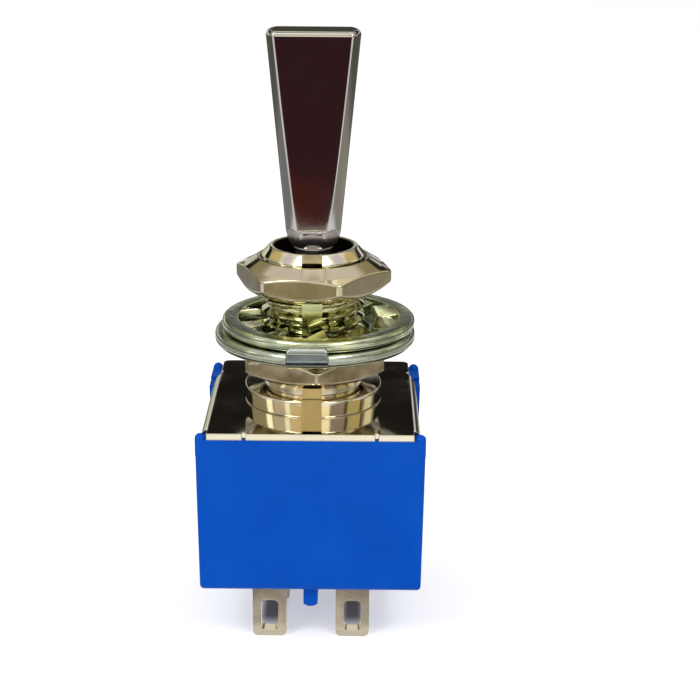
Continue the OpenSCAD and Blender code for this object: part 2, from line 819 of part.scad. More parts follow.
// Rocker blade: two rising arms with a contact bump under each end, narrowed at the trough.
module rocker(x) {
    arm_len = contact_reach + bump_d / 2 + rocker_margin;
    color([0.8, 0.72, 0.5])
        translate([x, 0, rocker_z + run_gap]) {
            intersection() {
                along_x(rocker_w) {
                    for (side = [0, 1])
                        mirror([side, 0]) rotate(arm_rise) square([arm_len, rocker_t]);
                }
                union() {
                    translate([0, 0, -1]) block([waist_w, 2 * arm_len, 4]);
                    for (side = [-1, 1])
                        translate([0, side * (arm_len + waist_len) / 2, -1]) block([rocker_w, arm_len, 4]);
                }
            }
            for (side = [-1, 1])
                rotate([side * arm_rise, 0, 0]) translate([0, side * contact_reach, -bump_h])
                    cylinder(d = bump_d, h = bump_h + rocker_t / 2);
        }
}

// Slotted solder lug with rounded lower corners, standing on its tip.
module lug(top) {
    translate([0, lug_t / 2, 0]) rotate([90, 0, 0]) linear_extrude(lug_t)
        difference() {
            union() {
                translate([0, lug_w / 2]) rounded_rect(lug_w, lug_w, lug_round);
                translate([-lug_w / 2, lug_w / 2]) square([lug_w, top - lug_w / 2]);
            }
            translate([0, slot_z + slot_len / 2]) rounded_rect(slot_w, slot_len, slot_round);
        }
}

// Common terminal: its lug runs up into a fork whose rounded saddle carries the rocker.
module common_terminal(x) {
    saddle_r = lug_t / 2;
    saddle_w = waist_w + 4 * run_gap;
    fork_w = saddle_w + 2 * ear_w;
    fork_z = floor_z + run_gap;
    color([0.78, 0.75, 0.66])
        translate([x, 0, 0]) {
            lug(rocker_z - saddle_r);
            translate([0, 0, fork_z]) block([fork_w, lug_t, rocker_z - saddle_r - fork_z]);
            along_x(saddle_w) translate([0, rocker_z - saddle_r]) circle(saddle_r);
            for (side = [-1, 1])
                translate([side * (fork_w - ear_w) / 2, 0, fork_z])
                    block([ear_w, lug_t, rocker_z + ear_h - fork_z]);
        }
}

// End terminal: its lug bends over on the floor into a shelf under the rocker's end.
module end_terminal(x, side) {
    outer_y = row_pitch + lug_t / 2;
    inner_y = contact_reach - pad_d / 2 - shelf_margin;
    color([0.78, 0.75, 0.66])
        translate([x, 0, 0]) mirror([0, side < 0 ? 1 : 0, 0]) {
            translate([0, row_pitch, 0]) lug(floor_z);
            along_x(shelf_w)
                translate([0, floor_z]) {
                    translate([inner_y, 0]) square([outer_y - lug_t - inner_y, lug_t]);
                    translate([outer_y - lug_t, 0]) intersection() {
                        circle(lug_t);
                        square(lug_t);
                    }
                }
        }
}

module fixed_contact(x, side) {
    color([0.88, 0.88, 0.86])
        translate([x, side * contact_reach, floor_z + lug_t]) {
            cylinder(d = pad_d, h = pad_h - 0.1);
            translate([0, 0, pad_h - 0.1]) cylinder(d1 = pad_d, d2 = pad_d - 0.2, h = 0.1);
        }
}
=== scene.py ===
import bmesh
import bpy
import numpy as np
from mathutils import Matrix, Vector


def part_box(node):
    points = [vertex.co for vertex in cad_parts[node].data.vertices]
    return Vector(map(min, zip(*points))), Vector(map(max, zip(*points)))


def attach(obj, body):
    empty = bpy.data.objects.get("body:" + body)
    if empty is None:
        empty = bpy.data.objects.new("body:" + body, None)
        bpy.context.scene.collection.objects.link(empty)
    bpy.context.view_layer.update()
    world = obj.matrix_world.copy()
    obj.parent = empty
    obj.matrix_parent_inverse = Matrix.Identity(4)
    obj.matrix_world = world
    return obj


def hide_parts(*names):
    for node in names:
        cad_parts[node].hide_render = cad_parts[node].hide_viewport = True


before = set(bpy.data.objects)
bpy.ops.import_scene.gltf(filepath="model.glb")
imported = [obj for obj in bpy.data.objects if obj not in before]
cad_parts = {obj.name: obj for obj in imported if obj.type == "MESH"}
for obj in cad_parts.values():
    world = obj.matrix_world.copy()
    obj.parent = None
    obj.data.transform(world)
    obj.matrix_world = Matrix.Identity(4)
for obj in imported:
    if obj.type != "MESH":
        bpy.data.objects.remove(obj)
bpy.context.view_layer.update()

MM = 0.001

# ---------------------------------------------------------------- case
# The body of the switch is one moulding in bright blue thermoset plastic, coloured right through.
# It comes from a satin mould, so it has a soft sheen, faint flow clouds and no lacquer. The frame's
# straps snap over it, and every other part is carried inside it or on its floor.


def linear(code):
    """An sRGB hex colour as the linear RGBA that shaders take."""
    c = np.array([int(code[i:i + 2], 16) / 255 for i in (1, 3, 5)])
    return tuple(np.where(c <= 0.04045, c / 12.92, ((c + 0.055) / 1.055) ** 2.4)) + (1.0,)


def add(tree, kind, links=(), **settings):
    """Adds a node. A setting is a property, an input by name, or an input by number as in _0;
    a link pairs an input's name or number with the output that feeds it."""
    node = tree.nodes.new(kind)
    for key, value in settings.items():
        if key[0] == "_":
            node.inputs[int(key[1:])].default_value = value
        elif hasattr(node, key):
            setattr(node, key, value)
        else:
            node.inputs[key.replace("_", " ")].default_value = value
    for key, source in links:
        tree.links.new(source, node.inputs[key])
    return node


def noise(tree, place, size, detail=3.0, **settings):
    """Noise from 0 to 1, whose blobs are about size mm across."""
    return add(tree, "ShaderNodeTexNoise", [("Vector", place)], Scale=1 / (size * MM), Detail=detail,
               **settings).outputs["Fac"]


def remap(tree, value, low, high, at_low=0.0, at_high=1.0, **settings):
    """A value taken from low..high to at_low..at_high, and held there beyond."""
    return add(tree, "ShaderNodeMapRange", [("Value", value)], From_Min=low, From_Max=high, To_Min=at_low,
               To_Max=at_high, **settings).outputs["Result"]


def blend(tree, share, *colours):
    """A mix of two colours, each an sRGB hex value or an output, by a share from 0 to 1."""
    node = add(tree, "ShaderNodeMix", [("Factor", share)], data_type="RGBA")
    for socket, colour in zip((node.inputs[6], node.inputs[7]), colours):
        if isinstance(colour, str):
            socket.default_value = linear(colour)
        else:
            tree.links.new(colour, socket)
    return node.outputs[2]


def relief(tree, height, strength, depth, *links):
    """A bumped normal; depth is in mm."""
    return add(tree, "ShaderNodeBump", [("Height", height), *links], Strength=strength,
               Distance=depth * MM).outputs["Normal"]


def rounded(tree, radius, samples=6):
    """A link that softens a CAD mesh's sharp edges to a radius in mm, for relief()."""
    return "Normal", add(tree, "ShaderNodeBevel", samples=samples, Radius=radius * MM).outputs[0]


def material(name, **sockets):
    """A material with one Principled shader; gives the material, its tree, its object coordinates
    and a function that links outputs to the shader's inputs by name."""
    made = bpy.data.materials.new(name)
    made.use_nodes = True
    tree = made.node_tree
    shader = tree.nodes["Principled BSDF"]
    for key, value in sockets.items():
        shader.inputs[key.replace("_", " ")].default_value = value

    def feed(**sources):
        for key, source in sources.items():
            tree.links.new(source, shader.inputs[key.replace("_", " ")])
    return made, tree, add(tree, "ShaderNodeTexCoord").outputs["Object"], feed


def dress(nodes, finish):
    """Gives CAD nodes a finish, in every slot they have."""
    for name in nodes:
        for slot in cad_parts[name].material_slots:
            slot.material = finish


# satin moulded thermoset: clouds 4 mm across where the plastic flowed, and a 0.15 mm mould grain,
# drawn about three times as coarse as it is so that it shows
blue, tree, place, feed = material("moulded_blue_thermoset", IOR=1.5, Specular_IOR_Level=0.07)
flow = noise(tree, place, 4, 4.0, Roughness=0.6)
grain = noise(tree, place, 0.15, 2.0)
feed(Base_Color=blend(tree, flow, "#0048B4", "#025CD0"),
     Roughness=remap(tree, flow, 0, 1, 0.26, 0.38),
     Normal=relief(tree, grain, 0.25, 0.01, rounded(tree, 0.08, 4)))
dress(["case"], blue)

# ---------------------------------------------------------------- terminals and fixed contacts
# Six lugs stamped from 0.75 mm brass strip and hot-tinned, pushed up through slots in the floor.
# The end ones fold into shelves that carry silver rivets; the middle ones rise into forks.


def coordinate(tree, place, axis):
    """The object coordinate along X, Y or Z, in metres."""
    return add(tree, "ShaderNodeSeparateXYZ", [("Vector", place)]).outputs[axis]


# hot-dipped tin: warm grey, with 0.9 mm patches of oxide that are darker and duller, and with
# stamped edges that the dip has rounded
tin, tree, place, feed = material("tinned_brass_strip", Metallic=1.0)
patch = noise(tree, place, 0.9, 5.0, Roughness=0.65)
ripple = noise(tree, place, 0.25)
# the lugs are lighter and evener towards their lower ends, fully so below 0.4 mm
toward_lower_ends = remap(tree, coordinate(tree, place, "Z"), 0.9 * MM, 0.4 * MM)
feed(Base_Color=blend(tree, toward_lower_ends, blend(tree, patch, "#787066", "#B4AA9C"), "#B8AE9A"),
     Roughness=remap(tree, patch, 0.3, 0.7, 0.36, 0.2),
     Normal=relief(tree, ripple, 0.3, 0.012, rounded(tree, 0.12)))
dress(["left_common", "right_common", "left_front_terminal", "right_front_terminal",
       "left_rear_terminal", "right_rear_terminal"], tin)

# fine silver, headed cold: white metal with a faint yellow-grey tarnish in 0.4 mm clouds
silver, tree, place, feed = material("silver_rivet", Metallic=1.0, Roughness=0.24)
feed(Base_Color=blend(tree, noise(tree, place, 0.4), "#C9C2AE", "#EDEBE6"))
dress(["left_front_contact", "right_front_contact", "left_rear_contact", "right_rear_contact"], silver)

# ---------------------------------------------------------------- rockers
# Two see-saw blades of silver-plated brass strip that rock on the forks and close on the rivets.
# They are blanked and bent, so their faces keep the strip's rolling lines along Y.

plate, tree, place, feed = material("silver_plated_brass", Metallic=1.0)
stretched = add(tree, "ShaderNodeMapping", [("Vector", place)],
                Scale=(1 / (0.05 * MM), 1 / (3 * MM), 1 / (0.5 * MM))).outputs[0]
lines = add(tree, "ShaderNodeTexNoise", [("Vector", stretched)], Scale=1.0, Detail=3.0).outputs["Fac"]
feed(Base_Color=blend(tree, lines, "#C2A468", "#E2D3A6"),
     Roughness=remap(tree, lines, 0, 1, 0.18, 0.34))
dress(["left_rocker", "right_rocker"], plate)

# ---------------------------------------------------------------- carrier, plungers and springs
# A nylon cradle on the lever's tail holds two sprung acetal plungers that press on the rockers.
# All three sorts of part are out of sight under the frame.

# natural nylon: cream in faint 2 mm clouds, moulded with a soft sheen
nylon, tree, place, feed = material("natural_nylon", Roughness=0.42, IOR=1.53)
feed(Base_Color=blend(tree, noise(tree, place, 2), "#DDD5BE", "#F0EBDA"))
dress(["carrier"], nylon)

# acetal: whiter and slicker than nylon
acetal, tree, place, feed = material("white_acetal", Roughness=0.28, IOR=1.48)
feed(Base_Color=blend(tree, noise(tree, place, 1.5), "#E6E5DF", "#F7F7F3"))
dress(["left_plunger", "right_plunger"], acetal)

# spring steel wire, drawn: grey with a 0.2 mm mottle
wire, tree, place, feed = material("drawn_spring_wire", Metallic=1.0, Roughness=0.3)
feed(Base_Color=blend(tree, noise(tree, place, 0.2, 2.0), "#77756F", "#A5A39C"))
dress(["left_spring", "right_spring"], wire)

# ---------------------------------------------------------------- frame
# A plate and two side straps folded from one piece of 0.38 mm steel sheet, bright nickel-plated
# before folding. It is a near mirror, with faint rolling lines and a scatter of tiny pits.

mirror_steel, tree, place, feed = material("bright_nickel_sheet", Metallic=1.0)
smudge = noise(tree, place, 2.5, 4.0, Roughness=0.6)
cells = add(tree, "ShaderNodeTexVoronoi", [("Vector", place)], Scale=1 / (0.6 * MM), Randomness=1.0)
pits = remap(tree, cells.outputs["Distance"], 0, 0.12)
stretched = add(tree, "ShaderNodeMapping", [("Vector", place)],
                Scale=(1 / (2.5 * MM), 1 / (0.08 * MM), 1 / (0.08 * MM))).outputs[0]
lines = add(tree, "ShaderNodeTexNoise", [("Vector", stretched)], Scale=1.0, Detail=2.0).outputs["Fac"]
pitted = relief(tree, pits, 0.5, 0.004, rounded(tree, 0.07))
feed(Base_Color=blend(tree, smudge, "#C6BFAC", "#E2DDCC"),
     Roughness=remap(tree, smudge, 0.35, 0.65, 0.04, 0.09),
     Normal=relief(tree, lines, 0.06, 0.002, ("Normal", pitted)))
dress(["frame"], mirror_steel)

# ---------------------------------------------------------------- bushing
# Turned from brass bar with an M6 x 0.75 thread rolled on it and a keyway milled down its front,
# then bright-nickelled thinly enough that the brass warms it. Its lower lip is staked over in the
# frame's plate.


def span(node, axis):
    """A CAD node's reach along one axis, in mm."""
    low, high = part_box(node)
    return low[axis] / MM, high[axis] / MM


def eased(outline, reach, steps=4):
    """A closed outline [..., corner, 2] with its corners eased. Corner c becomes the parabola
    (1-t)^2 a + 2t(1-t) c + t^2 b between the points a and b that lie at reach from c along its sides."""
    outline = np.asarray(outline, float)
    reach = np.broadcast_to(reach, outline.shape[-2])[:, None]
    before, after = (np.roll(outline, turn, axis=-2) - outline for turn in (1, -1))
    a = outline + before / np.linalg.norm(before, axis=-1, keepdims=True) * reach
    b = outline + after / np.linalg.norm(after, axis=-1, keepdims=True) * reach
    t = np.linspace(0, 1, steps + 1)[:, None]
    a, b, c = (p[..., None, :] for p in (a, b, outline))
    curve = (1 - t) ** 2 * a + 2 * t * (1 - t) * c + t ** 2 * b
    return curve.reshape(*outline.shape[:-2], -1, 2)


def surface(name, body, slot, finish, stands_for, *sheets):
    """One piece from grids of points [row, column] in mm. Columns close round. With rows that go up
    the outside and columns that go anticlockwise seen from above, faces point outwards. An end
    is "loop" where the last row joins the first, and "capped" where a flat face closes each end.
    Edges that turn by more than 38 degrees are sharp."""
    points, faces, first = [], [], 0
    for grid, ends in sheets:
        rows, columns = grid.shape[:2]
        index = first + np.arange(rows * columns).reshape(rows, columns)
        upper = np.roll(index, -1, axis=0) if ends == "loop" else index[1:]
        lower = index if ends == "loop" else index[:-1]
        quads = np.stack([lower, np.roll(lower, -1, 1), np.roll(upper, -1, 1), upper], -1)
        faces += quads.reshape(-1, 4).tolist()
        if ends == "capped":
            faces += [index[0, ::-1].tolist(), index[-1].tolist()]
        points.append(grid.reshape(-1, 3))
        first += rows * columns
    mesh = bpy.data.meshes.new(name)
    mesh.from_pydata((np.concatenate(points) * MM).tolist(), [], faces)
    work = bmesh.new()
    work.from_mesh(mesh)
    bmesh.ops.remove_doubles(work, verts=work.verts, dist=0.0002 * MM)
    work.to_mesh(mesh)
    work.free()
    mesh.shade_smooth()
    mesh.set_sharp_from_angle(angle=np.radians(38))
    piece = bpy.data.objects.new(name, mesh)
    bpy.context.scene.collection.objects.link(piece)
    piece.modifiers.new("flat faces stay flat", "WEIGHTED_NORMAL").keep_sharp = True
    mesh.materials.append(finish)
    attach(piece, body)
    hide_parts(*stands_for)


def calc(tree, operation, *values, **settings):
    """The result of a math node; each value is a number or an output."""
    node = add(tree, "ShaderNodeMath", operation=operation, **settings)
    for socket, value in zip(node.inputs, values):
        if isinstance(value, (int, float)):
            socket.default_value = value
        else:
            tree.links.new(value, socket)
    return node.outputs[0]


def waves(tree, place, radian, **settings):
    """Waves, one radian of which is radian mm long; at scale 1 the texture has 20 radians a metre."""
    return add(tree, "ShaderNodeTexWave", [("Vector", place)], Scale=1 / (radian * MM) / 20,
               **settings).outputs["Fac"]


plate_z = span("frame", 2)[1]
lip_z, mouth_z = span("bushing", 2)
pivot_z = sum(span("pivot_pin", 2)) / 2
flange_z = plate_z + 0.95
thread_low, thread_high = flange_z + 0.75, mouth_z - 0.5
sheet_t, hole_r, staked_r, flange_r, relief_r = 0.38, 2.99, 3.2, 4.0, 2.8
thread_r, thread_depth, pitch = 3.0, 0.4, 0.75
flare_r, seat_r, bore_r = 2.464, 2.0, 2.275
# a cut this far off the axis takes nothing from a turned piece
UNCUT = 9.0

# half section: up the outside, over the mouth, down the bore; then how far each corner is eased
section = [
    (flare_r, lip_z), (staked_r, lip_z), (staked_r, plate_z - sheet_t), (hole_r, plate_z - sheet_t),
    (hole_r, plate_z), (flange_r, plate_z), (flange_r, flange_z), (relief_r, flange_z),
    (relief_r, flange_z + 0.55), (thread_r, thread_low), (thread_r, thread_high), (2.55, mouth_z),
    (bore_r, mouth_z), (bore_r, pivot_z + 1.4), (seat_r, pivot_z + 0.8), (seat_r, pivot_z - 1.3),
    (flare_r, flange_z)]
reach = [0.03, 0.05, 0.03, 0.03, 0.03, 0.09, 0.07, 0.05, 0.02, 0.02, 0.06, 0.07, 0.08, 0.1, 0.1, 0.1, 0.1]
corner_points = 5
section = eased(section, reach, corner_points - 1)

# the thread: fine rows after the section's tenth corner, 16 to a turn, sunk by a truncated V that
# advances one pitch a turn and runs out at both ends
rows = np.linspace(thread_low + 0.05, thread_high - 0.08, int((thread_high - thread_low) / pitch * 16))
start = 10 * corner_points
profile = np.insert(section, start, np.stack([np.full(rows.size, thread_r), rows], -1), axis=0)
is_thread = np.zeros((len(profile), 1))
is_thread[start:start + rows.size] = 1

key_half, key_y, flange_key_y = 0.575, 2.46, 3.55
r, z = profile.T[:, :, None]
around = np.linspace(np.arcsin(key_half / thread_r), 2 * np.pi - np.arcsin(key_half / thread_r), 150)


def column_angle(radius):
    """Angles from the keyway's middle of the columns outside it. They keep their share of the turn
    that is left beside walls at +-key_half, so the walls stay upright at every radius."""
    wall = np.arcsin(np.minimum(key_half / radius, 1))
    return np.pi + (around - np.pi) * (np.pi - wall) / (np.pi - np.arcsin(key_half / thread_r))


phase = np.mod(z / pitch - column_angle(r) / (2 * np.pi), 1)
groove = np.clip((0.875 - np.abs(2 * phase - 1)) / 0.625, 0, 1)
fade = np.clip((z - thread_low) / 0.3, 0, 1) * np.clip((thread_high - z) / 0.2, 0, 1)
cut_r = r - thread_depth * groove * fade * is_thread
angle = column_angle(cut_r)
outside = np.stack([cut_r * np.sin(angle), -cut_r * np.cos(angle), z + 0 * angle], -1)
# columns across the keyway: x runs evenly between the walls, y stops at the keyway's floor, which
# is shallower in the flange and ends at the plate
x = np.linspace(-key_half, key_half, 9)
plain = np.sqrt(np.maximum(r ** 2 - x ** 2, 0))
tiny = 0.001
floor_y = np.where((z < flange_z - tiny) | (r > thread_r + 0.01), flange_key_y, key_y)
floor_y = np.where(z < plate_z - tiny, UNCUT, floor_y)
across = np.stack([x + 0 * r, -np.minimum(plain, floor_y), z + 0 * x], -1)
grid = np.concatenate([outside, across], axis=1)

# thin bright nickel over turned brass: warm, with dull traces of handling, and with turning waves
# 1.3 mm long that are too shallow to see but as unevenness
nickel, tree, place, feed = material("nickelled_turned_brass", Metallic=1.0)
handled = noise(tree, place, 1.2, 4.0, Roughness=0.6)
# the rolled thread is painted greener and yellower: a painted reflection of the yellow-green washers beside
# it
height = coordinate(tree, place, "Z")
above = remap(tree, height, thread_low * MM, (thread_low + 0.1) * MM)
below = remap(tree, height, (thread_high - 0.1) * MM, thread_high * MM, 1.0, 0.0)
on_thread = calc(tree, "MULTIPLY", above, below)
plating_and_thread_reflection = blend(tree, on_thread, blend(tree, handled, "#D6CCAE", "#EEE8D5"),
               blend(tree, handled, "#A49C6C", "#E4E6BC"))
# the bore is painted near-black and left satin: painted shade inside the mouth
flattened = add(tree, "ShaderNodeMapping", [("Vector", place)], Scale=(1 / MM, 1 / MM, 0)).outputs[0]
off_axis = add(tree, "ShaderNodeVectorMath", [(0, flattened)], operation="LENGTH").outputs["Value"]
outside_bore = remap(tree, off_axis, bore_r + 0.005, bore_r + 0.105)
gloss = add(tree, "ShaderNodeMapRange", [("Value", outside_bore), ("To Max", remap(
    tree, handled, 0.3, 0.7, 0.05, 0.13))], To_Min=0.5).outputs["Result"]
rings = waves(tree, place, 0.2, wave_type="BANDS", bands_direction="Z", Distortion=0.6, Detail=1.0)
feed(Base_Color=blend(tree, outside_bore, "#1C1512", plating_and_thread_reflection), Roughness=gloss,
     Normal=relief(tree, rings, 0.12, 0.003))
surface("turned_bushing", "housing", "nickel_brass", nickel, ["bushing"], (grid, "loop"))

# ---------------------------------------------------------------- rear nut
# A hex nut of nickelled brass, screwed down to stop the washers, its chamfered seat under them.
# It is made as a nut usually is: a hexagon bar faced with cones on both ends and bored.


def hexagon(flats, reach, straight=14):
    """Outline of a hexagon with eased corners: corners at flats / 2 / cos 30, and between them runs
    of points that lie closer towards the corners."""
    a = np.radians(np.arange(6) * 60)
    corners = np.stack([np.cos(a), np.sin(a)], -1) * flats / 2 / np.cos(np.pi / 6)
    curves = eased(corners, reach, 5).reshape(6, -1, 2)
    t = (1 - np.cos(np.linspace(0, np.pi, straight + 2)[1:-1, None])) / 2
    runs = curves[:, -1:] + (np.roll(curves, -1, 0)[:, :1] - curves[:, -1:]) * t
    return np.concatenate([curves, runs], axis=1).reshape(-1, 2)


def hex_nut(z, turn, flipped):
    """A nut's surface: round a hexagon, whose outline lies at R from the axis, runs a closed section
    (r, z). Its seat chamfer is (R - 3.6) tan 32 high, and its dome falls by (R - 3.95) tan 22 below
    the foot of its cone. At z it is turned by turn degrees, with its seat upwards where flipped."""
    height, bore, seat_out, cone_in, cone_out = 1.95, 3.06, 3.6, 3.23, 3.95
    chamfer, slope = np.tan(np.radians(32)), np.tan(np.radians(22))
    outline = hexagon(8.0, 0.3)
    big = np.linalg.norm(outline, axis=-1)
    shoulder = height - (cone_out - cone_in) * chamfer
    corners = [(bore, 0), (seat_out, 0), (big, (big - seat_out) * chamfer),
               (big, shoulder - (big - cone_out) * slope), (cone_out, shoulder), (cone_in, height),
               (bore, height)]
    corners = np.stack([np.stack([r + 0 * big, z + 0 * big], -1) for r, z in corners], axis=1)
    part = eased(corners, [0.03, 0.1, 0.12, 0.09, 0.02, 0.06, 0.04], corner_points - 1)
    # rows near both ends of the flats and of the dome, which follow the third and fourth corners,
    # so that the shading of the edges stays there
    share = np.array([0.03, 0.12, 0.5, 0.88, 0.97])[:, None]
    for corner in (4, 3):
        end = corner * corner_points
        rows = part[:, end - 1:end] + (part[:, end:end + 1] - part[:, end - 1:end]) * share
        part = np.concatenate([part[:, :end], rows, part[:, end:]], axis=1)
    flat = outline / big[:, None]
    grid = np.stack([part[..., 0] * flat[:, :1], part[..., 0] * flat[:, 1:], part[..., 1]], -1)
    grid = grid.transpose(1, 0, 2)
    if flipped:
        grid = grid * (1, -1, -1) + (0, 0, height)
    c, s = np.cos(np.radians(turn)), np.sin(np.radians(turn))
    return grid @ np.array([[c, s, 0], [-s, c, 0], [0, 0, 1]]) + (0, 0, z)


# nickelled brass nuts: a little duller than the bushing, with shallow waves 1.9 mm apart round
# the axis from facing
brass_nut, tree, place, feed = material("nickelled_brass_nut", Metallic=1.0)
handled = noise(tree, place, 1.5, 5.0, Roughness=0.6)
rings = waves(tree, place, 0.3, wave_type="RINGS", rings_direction="Z", Distortion=0.8, Detail=2.0)
feed(Base_Color=blend(tree, handled, "#B8AA90", "#D6CBB2"),
     Roughness=remap(tree, handled, 0.3, 0.7, 0.07, 0.17),
     Normal=relief(tree, rings, 0.12, 0.004))
surface("hex_nut_rear", "rear_hardware", "nickel_nut", brass_nut, ["rear_nut"],
        (hex_nut(span("rear_nut", 2)[0], turn=34, flipped=True), "loop"))

# ---------------------------------------------------------------- locating ring
# A flat ring stamped from zinc-plated steel, its edge rolled over by the die. A tab is turned up
# at its front, to enter a hole in the panel, and a small key inside rides in the keyway.

ring_z = span("locating_ring", 2)[0]
ring_x, ring_t, ring_bore_r, ring_r = 0.1, 0.8, 3.15, 5.825
rim = eased([(ring_bore_r, ring_z), (ring_r, ring_z), (ring_r, ring_z + ring_t),
             (ring_bore_r, ring_z + ring_t)],
            [0.04, 0.34, 0.34, 0.05], 8)


def turned(profile, centre_x, columns=160):
    """Surface of revolution: profile point (r, z) at angle a is (centre_x + r cos a, r sin a, z)."""
    a = np.linspace(0, 2 * np.pi, columns, endpoint=False)
    r, z = np.asarray(profile, float).T[:, :, None]
    return np.stack([centre_x + r * np.cos(a), r * np.sin(a), z + 0 * a], -1)


def bent_strip(path, half_width, half_height, bow):
    """A strip with a rounded section along a path in Y and Z. At path point i it is half_width[i]
    and half_height[i] thick; bow eases the section's corners by that share of its half height."""
    step = np.gradient(path, axis=0)
    normal = np.stack([-step[:, 1], step[:, 0]], -1) / np.linalg.norm(step, axis=-1, keepdims=True)
    box = np.array([(-1.0, -1.0), (1.0, -1.0), (1.0, 1.0), (-1.0, 1.0)])
    shape = box * np.stack([half_width, half_height], -1)[:, None, :]
    shape = np.concatenate([eased(s, bow * h, 5)[None] for s, h in zip(shape, half_height)])
    y = path[:, None, 0] + normal[:, None, 0] * shape[..., 1]
    z = path[:, None, 1] + normal[:, None, 1] * shape[..., 1]
    return np.stack([shape[..., 0], y, z], -1)


# the tab: in along the ring's underside, round a 0.375 mm bend, and up with rounded shoulders and
# a top that leans back
tab_face, half_t, bend_r, lean_back = -6.1, 0.225, 0.375, 0.22
bend = np.radians(np.linspace(-90, -180, 9))
path = np.concatenate([
    np.stack([np.linspace(tab_face + 1.5, tab_face + 0.62, 4), np.full(4, half_t)], -1),
    np.array([tab_face, 0]) + half_t + bend_r + bend_r * np.stack([np.cos(bend), np.sin(bend)], -1),
    np.stack([tab_face + half_t + lean_back * np.clip(np.linspace(-1.6, 1, 12), 0, 1),
              np.linspace(0.64, 1.2, 12)], -1)])
rise = np.clip((path[:, 1] - 0.8) / 0.4, 0, 1)
half_width = 1.2 - 0.42 * (1 - np.sqrt(1 - rise ** 2))
half_height = np.full(len(path), half_t)
tab = bent_strip(path, half_width, half_height, 0.6) + (ring_x - 0.3, 0, ring_z)
key = bent_strip(np.array([(-3.4, 0.4), (-2.62, 0.4)]), np.full(2, 0.42), np.full(2, 0.39), 0.15)
key = key[::-1] + (ring_x, 0, ring_z)

# bright zinc, blue-passivated: grey with a faint green cast and a soft, slightly milky gloss
zinc, tree, place, feed = material("blue_passivated_zinc", Metallic=1.0)
bloom = noise(tree, place, 1.0, 5.0, Roughness=0.65)
ripple = noise(tree, place, 0.35)
# the tab's face is painted greyer and bluer: painted shade on its front
tab_face_shade = remap(tree, coordinate(tree, place, "Y"), (tab_face + 0.08) * MM, (tab_face + 0.18) * MM, 1.0, 0.0)
feed(Base_Color=blend(tree, tab_face_shade, blend(tree, bloom, "#9CA692", "#D2D6C6"), "#929A9C"),
     Roughness=remap(tree, bloom, 0.3, 0.7, 0.14, 0.28),
     Normal=relief(tree, ripple, 0.5, 0.014))
surface("stamped_locating_ring", "rear_hardware", "zinc_ring", zinc, ["locating_ring"],
        (turned(rim, ring_x), "loop"), (tab, "capped"), (key, "capped"))

# ---------------------------------------------------------------- lock washer
# An internal-tooth lock washer of hardened steel, zinc-plated and yellow-green passivated. The
# teeth are blanked inside the rim and twisted, so that their edges bite the nut and the panel.

washer_z = span("lock_washer", 2)[0]
washer_x, washer_t, rim_r, washer_r = 0.3, 0.65, 4.669, 5.6
rim = eased([(rim_r, washer_z), (washer_r, washer_z), (washer_r, washer_z + washer_t),
             (rim_r, washer_z + washer_t)],
            [0.08, 0.28, 0.28, 0.1], 8)
# one tooth: a blade from inside the rim to near the thread, twisted from 0 to 24 degrees and
# lifted a little, so that its lower edge stays clear of the ring below; its free end is rounded
along = np.array([4.95, 4.75, 4.55, 4.3, 4.0, 3.7, 3.48, 3.4, 3.36])
inward = np.clip((4.8 - along) / 1.2, 0, 1)
twist = np.radians(24) * inward ** 0.7
half = np.stack([0.66 - 0.1 * inward - np.array([0] * 6 + [0.01, 0.05, 0.12]),
                 0.2 - np.array([0] * 7 + [0.03, 0.09])], -1)
blade = np.array([(-1.0, -1.0), (1.0, -1.0), (1.0, 1.0), (-1.0, 1.0)]) * half[:, None, :]
blade = eased(blade, 0.07, 4)
side = blade[..., 0] * np.cos(twist)[:, None] - blade[..., 1] * np.sin(twist)[:, None]
lift = blade[..., 0] * np.sin(twist)[:, None] + blade[..., 1] * np.cos(twist)[:, None]
tooth = np.stack([along[:, None] + 0 * side, side, lift + (washer_t / 2 + 0.06 * inward)[:, None]], -1)[::-1]
teeth = []
for place_angle in np.radians(18 + 36 * np.arange(10)):
    c, s = np.cos(place_angle), np.sin(place_angle)
    teeth.append((tooth @ np.array([[c, s, 0], [-s, c, 0], [0, 0, 1]]) + (washer_x, 0, washer_z), "capped"))

# zinc with a yellow-green chromate: olive-grey where it lies thin, straw where it pools
chromate, tree, place, feed = material("yellow_chromated_zinc", Metallic=1.0)
pool = noise(tree, place, 1.6, 4.0, Roughness=0.55)
ripple = noise(tree, place, 0.4)
ramp = add(tree, "ShaderNodeValToRGB", [("Fac", pool)])
ramp.color_ramp.elements[0].position, ramp.color_ramp.elements[0].color = 0.35, linear("#A3AF98")
ramp.color_ramp.elements[1].position, ramp.color_ramp.elements[1].color = 0.68, linear("#E8E8B6")
ramp.color_ramp.elements.new(0.52).color = linear("#C4CCAE")
feed(Base_Color=ramp.outputs["Color"],
     Roughness=remap(tree, pool, 0.3, 0.7, 0.24, 0.13),
     Normal=relief(tree, ripple, 0.5, 0.014))
surface("toothed_lock_washer", "rear_hardware", "zinc_yellow", chromate, ["lock_washer"],
        (turned(rim, washer_x), "loop"), *teeth)

# ---------------------------------------------------------------- front nut
# The same nut the other way up, run part of the way down: cone and dome outwards, seat inwards.
# It is the one that clamps the panel between itself and the washers.

surface("hex_nut_front", "front_nut", "nickel_nut", brass_nut, ["front_nut"],
        (hex_nut(span("front_nut", 2)[0], turn=-9, flipped=False), "loop"))

# ---------------------------------------------------------------- lever and pivot pin
# The bat is turned from brass as a long cone with a ball and tail below, milled flat on its front
# and back, tumbled so that its edges soften, and chromed. A hardened pin crosses the ball.

tail_z, tip_z = span("lever", 2)
foot_z = mouth_z + 1.1
neck_z = mouth_z - 0.12
ball_r, neck_r, tip_round = 1.95, 1.0, 0.27


def cone_r(z):
    """Radius of the turned blank: from 1.5 at the bushing's mouth to 2.675 at the tip."""
    return 1.5 + (z - mouth_z) * 1.175 / 12.25


